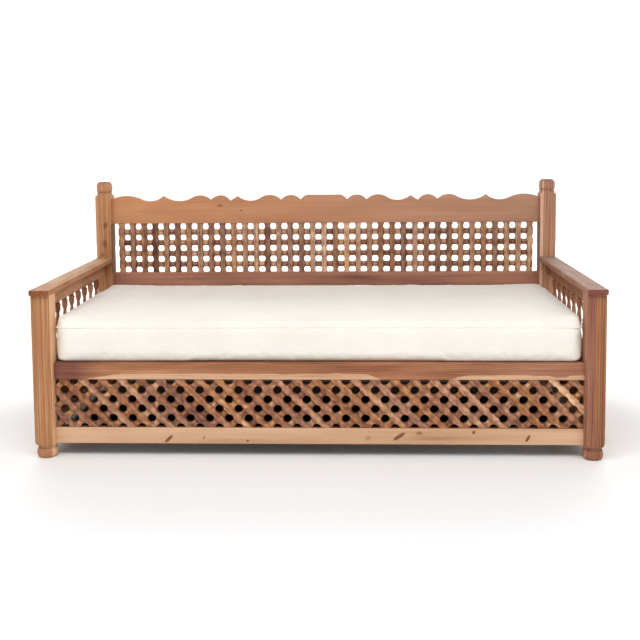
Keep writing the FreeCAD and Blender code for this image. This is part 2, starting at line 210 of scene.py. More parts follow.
def turn(shape, outline, start, axis, across, around, tones, squareness=2.0, half_depth=1.0, jointed=False):
    """A turned stick: outline of (radius, distance along the axis), from a point on its axis.

    tones are the mean and the spread of its tone. squareness above 2 makes its section fuller, and half_depth
    planes its front and back flat. A jointed one is darker at its ends: painted shade with dirt in the joints.
    """
    cut, tone = wood_place(), chance.gauss(*tones)
    depth = axis.cross(across)
    points, grain, shade_and_grime = [], [], []
    for radius, run in outline:
        for index in range(around):
            angle = 2 * math.pi * index / around
            cosine, sine = math.cos(angle), math.sin(angle)
            fullness = (abs(cosine) ** squareness + abs(sine) ** squareness) ** (-1 / squareness)
            u, v = radius * fullness * cosine, radius * fullness * sine
            v = max(-half_depth, min(half_depth, v))
            points.append(start + axis * run + across * u + depth * v)
            grain.append(grain_at(run, u, v, cut))
    # Painted shade with dirt: darker in grooves, and at the ends of a jointed stick where it meets the strips.
    for hollow, (radius, run) in zip(hollows(outline), outline):
        from_end = min(run - outline[0][1], outline[-1][1] - run)
        in_joint = JOINT_SHADE_AND_GRIME * max(0.0, 1 - from_end / JOINT_REACH) if jointed else 0.0
        shade_and_grime += [max(hollow, in_joint)] * around
    shape.add(points, tube_faces(len(outline), around), grain, tone, shade_and_grime)


# Lattice

STRIP_WIDE = 14.0 * MM  # half a strip's width where its pegs meet it
STRIP_ROUND = 4.0 * MM
# Half a strip's width beside a hole, the pegs' radius there, and how square the hole is: 2 would make it oval
BACK_HOLES = (10.8 * MM, 11.8 * MM, 3.0)
BASE_HOLES = (9.2 * MM, 10.0 * MM, 2.3)
PEG_AROUND = 20
PEG_TUCK = 3 * MM
PEG_SQUARENESS = 2.7  # of the base pegs' section
PEG_SINK = 0.6 * MM  # how far the base pegs' faces lie behind the strips' faces
STRIP_STEP = 3.0 * MM
SIDE_SHADE_AND_GRIME = 0.85  # painted shade with dirt on a strip's narrow sides, which line the holes
TUCK = 12 * MM  # how far a strip's end runs on inside a rail or post


def strip_half_width(from_peg, pitch, across_pitch, holes):
    """Half a strip's width at a distance along it from its nearest peg, so that its holes are rounded."""
    narrow, peg_radius, squareness = holes
    hole_reach = pitch / 2 - peg_radius
    hole_half = across_pitch / 2 - narrow
    from_hole = abs(pitch / 2 - from_peg)
    if from_hole >= hole_reach:
        return STRIP_WIDE
    share = (1 - (from_hole / hole_reach) ** squareness) ** (1 / squareness)
    return min(STRIP_WIDE, across_pitch / 2 - hole_half * share)


def strip_section(half_width):
    """Points round a strip, seen along it: a rectangle with rounded corners, as (across, depth)."""
    section = []
    for side, face, start in ((1, 1, 0), (-1, 1, 90), (-1, -1, 180), (1, -1, 270)):
        for degrees in range(start, start + 91, 30):
            angle = math.radians(degrees)
            section.append((side * (half_width - STRIP_ROUND) + STRIP_ROUND * math.cos(angle),
                            face * (STRIP_DEPTH / 2 - STRIP_ROUND) + STRIP_ROUND * math.sin(angle)))
    return section


def scalloped_strip(shape, origin, axes, reach, first_peg, spacing, tone):
    """A strip over its reach, from start to end, widened where pegs cross it.

    axes are along, across and through it. spacing is how far apart its pegs are, and the strips, and its holes.
    """
    along, across, depth = axes
    start, end = reach
    pitch = spacing[0]
    cut = wood_place()
    count = max(2, math.ceil((end - start) / STRIP_STEP))
    points, grain, shade_and_grime = [], [], []
    for step in range(count + 1):
        run = start + (end - start) * step / count
        from_peg = abs((run - first_peg + pitch / 2) % pitch - pitch / 2)
        section = strip_section(strip_half_width(from_peg, *spacing))
        for u, v in section:
            points.append(origin + along * run + across * u + depth * v)
            grain.append(grain_at(run, u, v, cut))
            # Painted shade with dirt on the strip's narrow sides, none on its front and back
            shade_and_grime.append(min(SIDE_SHADE_AND_GRIME, SIDE_SHADE_AND_GRIME * (STRIP_DEPTH / 2 - abs(v)) / STRIP_ROUND))
    shape.add(points, tube_faces(count + 1, len(section)), grain, tone, shade_and_grime)


def peg_outline(strip_pitch, half):
    """A bobbin between two strips, from the outline of half of it in millimetres, and its tucked-in ends."""
    end = (strip_pitch - 2 * STRIP_WIDE) / 2 + PEG_TUCK
    line = [(half[0][0] * MM, end)] + [(radius * MM, run * MM) for radius, run in half]
    return [(r, -run) for r, run in line] + [(r, run) for r, run in reversed(line[:-1])]


def lattice_pieces(place, strips, pegs, material, side=""):
    for shape, ours, theirs in ((strips, "bars", "strips"), (pegs, "bobbins", "pegs")):
        name = place + "_lattice_{}" + side
        shape.piece(name.format(ours), "lattice", material, replaces=[name.format(theirs)])


# A flared ring against each strip, a bead, a groove and a plump middle, as (radius, distance from the middle)
BACK_BOBBIN = [(13.2, 9.8), (12.6, 9.2), (11, 8.6), (11, 8.2), (12, 7.6), (12, 4.9), (11.1, 4.4), (11.1, 4),
               (12, 3.5), (12.1, 0)]
BASE_BOBBIN = [(14.4, 10.2), (13.4, 9.4), (12.1, 8.2), (11.1, 6.8), (10.6, 5.2), (10, 4.7), (10, 4.3), (10.5, 3.8),
               (10.3, 0)]


# Back lattice. Tones are the mean and the spread over its sticks.

BACK_STRIP_TONES = (0.45, 0.18)
BACK_PEG_TONES = (0.5, 0.22)
BACK_MIDDLE_TONE = 0.97  # of the strip in the middle, which is pale
CAD_STRIP = 22 * MM
CAD_PITCH = 49.7 * MM  # about how far apart the CAD strips are
CAD_PEG_RADIUS = 14 * MM
BACK_ROWS = 4


def back_columns():
    """The middles of the upright strips, spaced as the CAD strips are."""
    first = low("back_lattice_strips").x
    span = high("back_lattice_strips").x - first - CAD_STRIP
    gaps = round(span / CAD_PITCH)
    return [first + CAD_STRIP / 2 + span * index / gaps for index in range(gaps + 1)], span / gaps


def back_rows():
    bottom = low("back_lattice_pegs").z + CAD_PEG_RADIUS
    top = high("back_lattice_pegs").z - CAD_PEG_RADIUS
    return [bottom + (top - bottom) * row / (BACK_ROWS - 1) for row in range(BACK_ROWS)]


def back_lattice(material):
    columns, pitch = back_columns()
    rows = back_rows()
    strips, pegs = Shape(), Shape()
    for x in columns:
        tone = chance.gauss(*BACK_STRIP_TONES)
        if abs(x) < pitch / 2:
            tone = BACK_MIDDLE_TONE
        scalloped_strip(strips, Vector((x, BACK_LATTICE_Y, 0)), (Z_AXIS, X_AXIS, Y_AXIS),
                        (BACK_OPENING[0] - TUCK, BACK_OPENING[1] + TUCK), rows[0],
                        (rows[1] - rows[0], pitch, BACK_HOLES), tone)
    outline = peg_outline(pitch, BACK_BOBBIN)
    for z in rows:
        for x in columns[:-1]:
            turn(pegs, outline, Vector((x + pitch / 2, BACK_LATTICE_Y, z)), X_AXIS, Z_AXIS, PEG_AROUND,
                 BACK_PEG_TONES, jointed=True)
    lattice_pieces("back", strips, pegs, material)


# Diagonal lattice

ROW_HEIGHT = 33.9 * MM
FIRST_ROW_GAP = 5.6 * MM
COLUMN_WIDTH = 34.5 * MM
BASE_ROWS = 5
BASE_STRIP_TONES = (0.48, 0.085)
BASE_PEG_TONES = (0.54, 0.17)
PALE_COLUMN = 56  # where the front lattice's one pale strip starts
PALE_TONE = 0.98


def diagonal_lattice(corner, x_axis, y_axis, length, pale=None):
    """Strips that fall along x_axis and pegs that rise between them, from the lower left corner of an opening."""
    height = BASE_OPENING[1] - BASE_OPENING[0]
    bottom = height - FIRST_ROW_GAP - BASE_ROWS * ROW_HEIGHT
    columns = round(length / COLUMN_WIDTH)
    step = length / columns
    cell = math.hypot(step, ROW_HEIGHT)
    falling = (x_axis * step - Z_AXIS * ROW_HEIGHT) / cell
    rising = (x_axis * step + Z_AXIS * ROW_HEIGHT) / cell
    run_x, run_z = step / cell, ROW_HEIGHT / cell
    strip_pitch = 2 * step * ROW_HEIGHT / cell
    strips, pegs = Shape(), Shape()
    for column in range(0, columns + BASE_ROWS + 1, 2):
        origin = corner + x_axis * (column * step) + Z_AXIS * bottom
        reach = (max((bottom - height - TUCK) / run_z, (-TUCK - column * step) / run_x),
                 min((bottom + TUCK) / run_z, (length + TUCK - column * step) / run_x))
        tone = PALE_TONE if column == pale else chance.gauss(*BASE_STRIP_TONES)
        scalloped_strip(strips, origin, (falling, falling.cross(y_axis), y_axis), reach, 0,
                        (cell, strip_pitch, BASE_HOLES), tone)
    outline = peg_outline(strip_pitch, BASE_BOBBIN)
    for row in range(BASE_ROWS + 1):
        for column in range(row % 2, columns, 2):
            middle = corner + x_axis * ((column + 0.5) * step) + Z_AXIS * (bottom + (row + 0.5) * ROW_HEIGHT)
            turn(pegs, outline, middle, rising, rising.cross(y_axis), PEG_AROUND, BASE_PEG_TONES,
                 PEG_SQUARENESS, STRIP_DEPTH / 2 - PEG_SINK, jointed=True)
    return strips, pegs


def base_lattices(material):
    corner = Vector((-INNER_X, FRONT_LATTICE_Y, BASE_OPENING[0]))
    strips, pegs = diagonal_lattice(corner, X_AXIS, Y_AXIS, 2 * INNER_X, PALE_COLUMN)
    lattice_pieces("front", strips, pegs, material)
    for side in SIDES:
        start = high("front_post_" + side).y
        corner = Vector((centre("side_lattice_strips_" + side, 0), start, BASE_OPENING[0]))
        strips, pegs = diagonal_lattice(corner, Y_AXIS, X_AXIS, low("back_post_" + side).y - start)
        lattice_pieces("side", strips, pegs, material, "_" + side)


# Posts

CORNER_ROUND = 1.6 * MM
FLUTES = (-19 * MM, 0, 19 * MM)
FLUTE_HALF = 5 * MM
FLUTE_DEPTH = 1.2 * MM  # they are worn shallow, and show as soft lines
FACE_MARGIN = 2 * MM
EDGE_SHARE = 0.3  # of a post's width, from its middle to where the inner edge of its front starts
INNER_FACE_PAINTED_SHADE = 0.85  # painted shade on the back posts' inner faces, beside the lattice
FULL = 1.0  # a reach that leaves the square whole
FOOT_OUTLINE = [(25, 0), (25, 0), (31.5, 3), (35.2, 9), (36.6, 17), (35.6, 26), (32.5, 33), (29.5, 36), (29.5, 36),
                (31.8, 37.6), (32.6, 40.5), (32.4, 43.5), (31.5, 45), (31.5, 45), (37, 46.2), (42.5, 50.5), (46, 58),
                (48.5, 67)]
FINIAL_OUTLINE = [(48.5, -6), (44.5, -1.2), (38, 1.4), (34, 4), (32, 8.5), (31.8, 12), (29, 15), (29, 15),
                  (31.2, 17.2), (33.2, 23), (33.9, 32), (33.6, 42), (31.8, 50), (28.4, 56), (22, 59.2), (12, 60),
                  (0.5, 60)]


def post_section(outer_face):
    """Points round the square, from its middle, as (x, y, name of the face), with flutes on the faces that show."""
    half = POST / 2
    profile = [(-half, 0), (-half + FACE_MARGIN, 0)]
    for flute in FLUTES:
        profile += [(flute + share * FLUTE_HALF, FLUTE_DEPTH * math.cos(math.pi / 2 * share) ** 2)
                    for share in (-1, -0.6, -0.3, 0, 0.3, 0.6, 1)]
    profile.append((half - FACE_MARGIN, 0))
    section = []
    for name, (nx, ny), (ux, uy) in FACES:
        for u, depth in profile:
            out = half - (depth if name in ("front", outer_face) else 0)
            section.append((ux * u + nx * out, uy * u + ny * out, name))
    return section


def post_rings(node, is_back):
    """How far a post reaches from its axis up its height, as (reach, z)."""
    rings = curve_through(FOOT_OUTLINE, 4)
    if not is_back:
        return rings + [(FULL, high(node).z)]
    rings += [(FULL, z + step * MM) for z in BACK_OPENING for step in (-1, 1)]
    return rings + curve_through(FINIAL_OUTLINE, 4, SHOULDER_TOP)


def post_piece(node, outward, material, tone, inner_light_and_shade_tone, edge_painted_light_tone=None):
    """A post with a turned foot, and a finial if it is a back one. Its inner face has a tone of its own: painted light
    where it is paler, painted shade where it is darker. The inner edge of its front can take a paler tone: painted
    light.
    """
    is_back = node.startswith("back")
    inner_face, outer_face = ("left", "right") if outward > 0 else ("right", "left")
    middle = foot(node)
    section = post_section(outer_face)
    rings = post_rings(node, is_back)
    halves = [wood_place(), wood_place()]
    grooves = hollows([(min(reach, POST / 2), z) for reach, z in rings])
    points, grain, tones, shade_and_grime = [], [], [], []
    for (reach, z), groove in zip(rings, grooves):
        reach = min(reach, POST / 2 * math.sqrt(2) - CORNER_ROUND)
        shaded = is_back and BACK_OPENING[0] < z < BACK_OPENING[1]
        for x, y, face in section:
            scale = min(1, reach / math.hypot(x, y))
            points.append(middle + Vector((x * scale, y * scale, z)))
            grain.append(grain_at(z, x * scale, y * scale, halves[0] if x < 0 else halves[1]))
            # The inner face's own tone and the front's paler inner edge are painted light; the back right post's
            # darker inner face is painted shade.
            on_edge = edge_painted_light_tone is not None and face == "front" and -x * outward > POST * EDGE_SHARE
            tones.append(inner_light_and_shade_tone if face == inner_face else edge_painted_light_tone if on_edge else tone)
            # Painted shade with dirt in the grooves; painted shade on a back post's inner face beside the lattice.
            shade_and_grime.append(max(groove, INNER_FACE_PAINTED_SHADE if shaded and face == inner_face else 0))
    shape = Shape(points, tube_faces(len(rings), len(section)), grain, tones, shade_and_grime)
    shape.piece(node + "_turned", "post", material, replaces=[node], sharp=35)


# Crest rail

CREST_WAVE = 24 * MM
CREST_EDGE = 2.0 * MM
CREST_ROUND = [(0, -1), (0.12, -0.5), (0.5, -0.12), (1, 0)]
ARC_STEPS = 12
# Its top edge from the middle outwards, as shares of its half length and of the wave's height: the end of each
# line, or a place on each arc and its end
CREST_LINE = [
    [(0.06, 0)], [(0.092, -0.2), (0.109, -0.86)], [(0.155, 0), (0.201, -0.86)], [(0.245, 0), (0.296, -0.42)],
    [(0.34, -1), (0.406, -0.14)], [(0.441, -1)], [(0.487, 0), (0.532, -0.84)], [(0.578, 0), (0.626, -0.46)],
    [(0.68, -1), (0.757, -0.06)], [(0.824, -1), (0.868, -0.56)], [(0.932, 0), (1, -0.54)]]


def arc_points(a, via, b):
    """Points on the arc from a through via to b, without a itself."""
    ax, ay, bx, by, cx, cy = *a, *via, *b
    d = 2 * (ax * (by - cy) + bx * (cy - ay) + cx * (ay - by))
    aa, bb, cc = ax * ax + ay * ay, bx * bx + by * by, cx * cx + cy * cy
    ux = (aa * (by - cy) + bb * (cy - ay) + cc * (ay - by)) / d
    uy = (aa * (cx - bx) + bb * (ax - cx) + cc * (bx - ax)) / d
    radius = math.hypot(ax - ux, ay - uy)
    first, last = math.atan2(ay - uy, ax - ux), math.atan2(cy - uy, cx - ux)
    turn_by = (last - first + math.pi) % (2 * math.pi) - math.pi
    angles = [first + turn_by * (k + 1) / ARC_STEPS for k in range(ARC_STEPS)]
    return [(ux + radius * math.cos(angle), uy + radius * math.sin(angle)) for angle in angles]


def crest_line():
    """The crest's top edge from its middle to its right end, as (x, z)."""
    line = [(0.0, 0.0)]
    for shares in CREST_LINE:
        *via, end = [(x * INNER_X, z * CREST_WAVE) for x, z in shares]
        line += arc_points(line[-1], via[0], end) if via else [end]
    hump = max(z for x, z in line)
    return [(x, high("crest_rail").z - hump + z) for x, z in line]


def crest_piece(material):
    half = crest_line()
    line = [(-x, z) for x, z in reversed(half[1:])] + half
    bottom, front, back = low("crest_rail").z, low("crest_rail").y, high("crest_rail").y
    wood_place()  # drawn but not used, so that later pieces keep their draws
    points, grain = [], []
    for x, z in line:
        section = [(front + CREST_EDGE * u, z + CREST_EDGE * v) for u, v in CREST_ROUND]
        section += [(back - CREST_EDGE * u, z + CREST_EDGE * v) for u, v in reversed(CREST_ROUND)]
        section += [(back, bottom + CREST_EDGE), (back - CREST_EDGE, bottom), (front + CREST_EDGE, bottom),
                    (front, bottom + CREST_EDGE)]
        points += [Vector((x, y, height)) for y, height in section]
        grain += [(x, height, y) for y, height in section]
    shape = Shape(points, tube_faces(len(line), len(section)), grain)
    shape.piece("crest_rail_shaped", "crest", material, replaces=["crest_rail"], sharp=25)


# Spindles

SPINDLES = 8
SPINDLE_AROUND = 28
SPINDLE_TONES = (0.45, 0.12)
SPINDLE_HALF = [(10.5, -1), (10.5, 0), (10.5, 4.5), (10.5, 4.5), (8.4, 6.2), (7.2, 7.4), (7.4, 8.4), (10.2, 10),
                (12, 13.5), (12, 18), (11.2, 22.5), (10, 25), (10, 25), (11.2, 26.6), (11.5, 30), (10.8, 34.5),
                (9.4, 38), (9.4, 38), (9.8, 39.6), (8.2, 42), (6.8, 46), (6.4, 52), (6.9, 60), (8.2, 71), (9.2, 79),
                (8.9, 84), (7.8, 86.6), (7.8, 86.6), (9.8, 88.6), (10.2, 92.5)]


def spindle_pieces(material):
    half = curve_through(SPINDLE_HALF, 3, SEAT_TOP)
    for side in SIDES:
        for index in range(1, SPINDLES + 1):
            node = "arm_spindle_{}_{}".format(side, index)
            middle = centre(node, 2)
            outline = half + [(r, 2 * middle - z) for r, z in reversed(half[:-1])]
            shape = Shape()
            turn(shape, outline, foot(node), Z_AXIS, X_AXIS, SPINDLE_AROUND, SPINDLE_TONES)
            shape.piece(node + "_turned", "spindle", material, replaces=[node])


# Arm caps

CAP_EDGE = 3.5 * MM


def cap_pieces(materials):
    """Flat boards with rounded edges, their corners in front rounded too."""
    for side, material in materials.items():
        a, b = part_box("arm_cap_" + side)
        board = bmesh.new()
        bmesh.ops.create_cube(board, size=1)
        size = b - a
        for vertex in board.verts:
            vertex.co = Vector((a[k] + size[k] * (vertex.co[k] + 0.5) for k in range(3)))
        rounded = [edge for edge in board.edges if not all(abs(v.co.y - b.y) < MM for v in edge.verts)]
        bmesh.ops.bevel(board, geom=rounded, offset=CAP_EDGE, segments=5, profile=0.5, affect="EDGES")
        mesh = bpy.data.meshes.new("arm_cap_board_" + side)
        board.to_mesh(mesh)
        board.free()
        dress("arm_cap_board_" + side, mesh, material, "frame", ["arm_cap_" + side], 40)


# Mattress

MATTRESS_LOW, MATTRESS_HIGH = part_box("mattress")
SEAM_HEIGHT = 124  # millimetres, over the mattress's bottom
SEAM_Z = MATTRESS_LOW.z + SEAM_HEIGHT * MM
MATTRESS_CORNER = 18 * MM
MATTRESS_SLACK = 3 * MM  # room left for the pressure to fill
CROWN_SLACK = 0.6  # of it, over the crown
MATTRESS_MOVE = 5 * MM  # the most that the pressure may move a point
DRAW_IN = 4 * MM  # of the long sides, in their middles
EDGE_ROUND = 8 * MM  # of the top panel, just above the seam
END_ROUND = 2.5 * MM  # the same at the two ends, where the panel is fuller
END_REACH = 60 * MM
END_RISE = {-1: 10 * MM, 1: 14 * MM}
RISE_REACH = 220 * MM
RISE_BACK = 260 * MM  # how far in from the back edge the ends reach their full rise
BACK_FALL = 130 * MM  # how far in from the back edge the top panel starts to fall
BACK_SHARE = 0.52  # of the crown, left at the back edge
BAND = [(11, 0.3), (4, 3), (1, 8), (0, 14), (0, SEAM_HEIGHT)]  # (inset, height) in millimetres
TOP_INSETS = [0.3, 1, 2.2, 4, 6, 8, 20, 60, 130, 300]
RING_POINTS = 240
VOXEL = 10 * MM
CLOTH_FRAMES = 18
HELD_AT_SEAM, HELD_AT_BOTTOM = 5 * MM, 3 * MM
PIPING_RADIUS = 2.6 * MM
PIPING_INSET = 0.4 * MM
PIPING_POINTS = 480
PIPING_AROUND = 10


def mattress_ring(inset, around=RING_POINTS):
    """A rounded rectangle with slightly drawn-in long sides, as (x, y) points evenly spaced."""
    a, b = MATTRESS_LOW, MATTRESS_HIGH
    half_x, half_y = (b.x - a.x) / 2 - inset, (b.y - a.y) / 2 - inset
    middle_x, middle_y = (a.x + b.x) / 2, (a.y + b.y) / 2
    corner = MATTRESS_CORNER
    straight_x, straight_y = half_x - corner, half_y - corner
    quarter = math.pi / 2 * corner
    total = 4 * (straight_x + straight_y) + 4 * quarter
    ring = []
    for index in range(around):
        run = total * index / around
        for turned, (name, (nx, ny), (ux, uy)) in enumerate(FACES):
            straight = straight_y if nx else straight_x
            if run <= 2 * straight:
                share = run / (2 * straight) * 2 - 1
                out = half_x if nx else half_y - DRAW_IN * (1 - share * share)
                ring.append((middle_x + nx * out + ux * share * straight, middle_y + ny * out + uy * share * straight))
                break
            run -= 2 * straight
            if run <= quarter:
                angle = math.pi / 2 * (turned - 1) + run / corner
                ring.append((middle_x + (nx + ux) * straight_x + corner * math.cos(angle),
                             middle_y + (ny + uy) * straight_y + corner * math.sin(angle)))
                break
            run -= quarter
    return ring


def crown_share(inset, from_back, from_end):
    """How much of its full crown the top panel has: round over its edge, and lower towards the back."""
    endward = max(0.0, 1 - max(0.0, from_end - inset) / END_REACH)
    near = min(1.0, inset / (EDGE_ROUND + (END_ROUND - EDGE_ROUND) * endward))
    rounded = math.sqrt(1 - (1 - near) ** 2)
    back = min(1.0, from_back / BACK_FALL)
    return rounded * (BACK_SHARE + (1 - BACK_SHARE) * math.sin(math.pi / 2 * back))


def end_rise(x, from_back, from_end):
    """How much fuller the top panel is towards its ends, though not along its back edge."""
    rise = END_RISE[1 if x > 0 else -1] * max(0.0, 1 - from_end / RISE_REACH) ** 2
    return rise * min(1.0, from_back / RISE_BACK)


def mattress_start():
    """The closed form that the pressure swells: a band, and a crowned top panel above its seam."""
    slack = MATTRESS_SLACK
    crown = MATTRESS_HIGH.z - SEAM_Z - slack * CROWN_SLACK
    rings = [[(x, y, MATTRESS_LOW.z + height * MM) for x, y in mattress_ring(slack + inset * MM)]
             for inset, height in BAND]
    for inset in TOP_INSETS:
        level = []
        for x, y in mattress_ring(slack + inset * MM):
            from_end = MATTRESS_HIGH.x - slack - abs(x)
            from_back = MATTRESS_HIGH.y - y
            share = crown_share(inset * MM, from_back, from_end)
            level.append((x, y, SEAM_Z + (crown + end_rise(x, from_back, from_end)) * share))
        rings.append(level)
    mesh = bpy.data.meshes.new("mattress_start")
    mesh.from_pydata([point for ring in rings for point in ring], [], tube_faces(len(rings), RING_POINTS))
    return mesh


def evaluated(thing):
    return bpy.data.meshes.new_from_object(thing.evaluated_get(bpy.context.evaluated_depsgraph_get()))


def remeshed(mesh):
    """The same form in even squares."""
    holder = placed("remesh_holder", mesh)
    modifier = holder.modifiers.new("even", "REMESH")
    modifier.mode = "VOXEL"
    modifier.voxel_size = VOXEL
    bpy.context.view_layer.update()
    even = evaluated(holder)
    bpy.data.objects.remove(holder)
    return even


def swollen(mesh):
    """The form under pressure, its seam and its bottom held, each point moved a limited way."""
    piece = placed("mattress_cloth", mesh)
    rest = [v.co.copy() for v in mesh.vertices]
    held = piece.vertex_groups.new(name="held")
    held.add([v.index for v in mesh.vertices if abs(v.co.z - SEAM_Z) < HELD_AT_SEAM
              or v.co.z < MATTRESS_LOW.z + HELD_AT_BOTTOM], 1.0, "REPLACE")
    cloth = piece.modifiers.new("cloth", "CLOTH")
    cloth.settings.vertex_group_mass = "held"
    cloth.settings.use_pressure = True
    cloth.settings.uniform_pressure_force = 4
    cloth.settings.shrink_min = -0.012
    cloth.settings.quality = 4
    cloth.settings.effector_weights.gravity = 0
    cloth.collision_settings.use_collision = False
    scene = bpy.context.scene
    for step in range(1, CLOTH_FRAMES + 1):
        scene.frame_set(step)
    moved = evaluated(piece)
    scene.frame_set(1)
    bpy.data.objects.remove(piece)
    for vertex, start in zip(moved.vertices, rest):
        shift = vertex.co - start
        if shift.length > MATTRESS_MOVE:
            vertex.co = start + shift * (MATTRESS_MOVE / shift.length)
        vertex.co.z = max(vertex.co.z, MATTRESS_LOW.z)
    return moved


# Small puckers near the back and soft folds, as (x, y, length, width, turn in degrees, depth) in millimetres
FOLDS = [(-512, 239, 42, 20, 35, 1.5), (-306, 163, 46, 20, 140, 1.4), (-200, 216, 40, 20, 60, 1.5),
         (-66, 60, 150, 25, 96, 1), (8, 130, 170, 27, 84, 1.1), (92, 250, 90, 25, 30, 1),
         (150, 330, 120, 27, 20, 1.1), (-780, 120, 200, 30, 70, 0.8), (700, 40, 220, 30, 110, 0.8),
         (420, 280, 160, 26, 15, 0.8), (-640, -180, 260, 40, 100, 0.6), (300, -150, 320, 45, 80, 0.6)]
FOLD_DEPTH = 2.2  # times the depth given
FOLD_RIDGE = 0.6  # its height as a share of the fold's depth
RIDGE_PLACE = 1.8  # in half widths of the fold
FOLDS_FROM = 12 * MM  # over the seam


def fold_top(mesh):
    """Presses the folds into the top panel, each a hollow with a low ridge beside it."""
    for vertex in mesh.vertices:
        if vertex.co.z < SEAM_Z + FOLDS_FROM:
            continue
        for x, y, length, width, turned, depth in FOLDS:
            dx, dy = vertex.co.x - x * MM, vertex.co.y - y * MM
            angle = math.radians(turned)
            along = (dx * math.cos(angle) + dy * math.sin(angle)) / (length / 2 * MM)
            across = (dy * math.cos(angle) - dx * math.sin(angle)) / (width / 2 * MM)
            if abs(along) < 3 and abs(across) < 4:
                wave = math.exp(-across * across) - FOLD_RIDGE * math.exp(-(across - RIDGE_PLACE) ** 2)
                vertex.co.z -= FOLD_DEPTH * depth * MM * wave * math.exp(-along * along)


def mattress_pieces(fabric):
    even = remeshed(mattress_start())
    mesh = swollen(even)
    fold_top(mesh)
    mesh.name = "mattress_cushion"
    cushion = dress("mattress_cushion", mesh, fabric, "mattress", ["mattress"], 80)
    smooth = cushion.modifiers.new("smooth", "SUBSURF")
    smooth.levels = smooth.render_levels = 1
    piping(fabric)


def piping(fabric):
    """A round cord all along the seam."""
    ring = mattress_ring(MATTRESS_SLACK + PIPING_INSET, PIPING_POINTS)
    points, grain = [], []
    for index, (x, y) in enumerate(ring):
        before, after = Vector(ring[index - 1]), Vector(ring[(index + 1) % len(ring)])
        run = (after - before).normalized()
        out = Vector((run.y, -run.x, 0))
        for k in range(PIPING_AROUND):
            angle = 2 * math.pi * k / PIPING_AROUND
            spot = Vector((x, y, SEAM_Z)) + out * (PIPING_RADIUS * math.cos(angle))
            spot.z += PIPING_RADIUS * math.sin(angle)
            points.append(spot)
            grain.append((index * 0.01, k * 0.002, 0))
    shape = Shape(points, wall_faces(len(ring), PIPING_AROUND, closed=True), grain)
    shape.piece("mattress_piping", "mattress", fabric, body="mattress", sharp=80)


# Materials

def rgb(red, green, blue):
    """A colour given as it looks on a screen, 0 to 255, as the shader wants it."""
    return tuple((c / 255 / 12.92 if c <= 10.31 else ((c / 255 + 0.055) / 1.055) ** 2.4)
                 for c in (red, green, blue)) + (1.0,)


def operator(operation, swapped=False):
    def method(self, other):
        return self.nodes.math(operation, *((other, self) if swapped else (self, other)))
    return method


class Value:
    """An output of a node. Arithmetic on it adds a math node."""

    def __init__(self, nodes, node, output):
        self.nodes, self.node, self.output = nodes, node, output

    __add__ = operator("ADD")
    __radd__ = operator("ADD", swapped=True)
    __sub__ = operator("SUBTRACT")
    __mul__ = operator("MULTIPLY")
    __truediv__ = operator("DIVIDE")
    __pow__ = operator("POWER")


class Nodes:
    """The nodes of a material or world under construction, with short ways to add and join them."""

    def __init__(self, owner):
        owner.use_nodes = True
        self.owner, self.tree = owner, owner.node_tree
        self.tree.nodes.clear()

    def add(self, kind, inputs=(), output=0, **settings):
        """An output of a new node, whose inputs are numbers or other nodes' outputs."""
        node = self.tree.nodes.new("ShaderNode" + kind)
        for key, value in settings.items():
            setattr(node, key, value)
        for key, value in dict(inputs).items():
            if isinstance(value, Value):
                self.tree.links.new(value.node.outputs[value.output], node.inputs[key])
            else:
                node.inputs[key].default_value = value
        return Value(self, node, output)

    def math(self, operation, *values, clamp=False):
        return self.add("Math", dict(enumerate(values)), operation=operation, use_clamp=clamp)

    def rest(self, value):
        """What is left of 1, or nothing."""
        return self.math("SUBTRACT", 1.0, value, clamp=True)

    def place(self):
        return self.add("TexCoord", output="Object")

    def normal(self):
        return self.split(self.add("NewGeometry", output="Normal"))

    def attribute(self, name, output="Fac"):
        return self.add("Attribute", output=output, attribute_name=name)

    def split(self, vector):
        """A vector's three parts, by axis."""
        node = self.add("SeparateXYZ", {0: vector}).node
        return {axis: Value(self, node, axis) for axis in "XYZ"}

    def noise(self, vector, scale, detail=2.0, roughness=0.5, distortion=0.0):
        scaled = self.add("VectorMath", {0: vector, 1: scale}, operation="MULTIPLY")
        return self.add("TexNoise", {"Vector": scaled, "Scale": 1.0, "Detail": detail, "Roughness": roughness,
                                     "Distortion": distortion}, "Fac")

    def ramp(self, value, stops):
        """Colours along a value, from stops of (place, red, green, blue)."""
        colours = self.add("ValToRGB", {"Fac": value})
        elements = colours.node.color_ramp.elements
        for index, (place, *shade) in enumerate(stops):
            element = elements[index] if index < 2 else elements.new(place)
            element.position = place
            element.color = rgb(*shade)
        return colours

    def range(self, value, from_low, from_high, to_low, to_high, **settings):
        return self.add("MapRange", {"Value": value, "From Min": from_low, "From Max": from_high,
                                     "To Min": to_low, "To Max": to_high}, **settings)

    def fade(self, value, none, full, **settings):
        """0 where the value is at none, and 1 where it is at full."""
        return self.range(value, min(none, full), max(none, full), float(none > full), float(none < full),
                          **settings)

    def mix(self, factor, a, b, blend="MIX"):
        return self.add("Mix", {0: factor, 6: a, 7: b}, output=2, data_type="RGBA", blend_type=blend,
                        clamp_factor=True)

    def bump(self, height, strength, distance):
        return self.add("Bump", {"Strength": strength, "Distance": distance, "Height": height})

    def finished(self, inputs):
        """Ends a material with a shader of these inputs."""
        self.add("OutputMaterial", {"Surface": self.add("BsdfPrincipled", inputs)})
        return self.owner


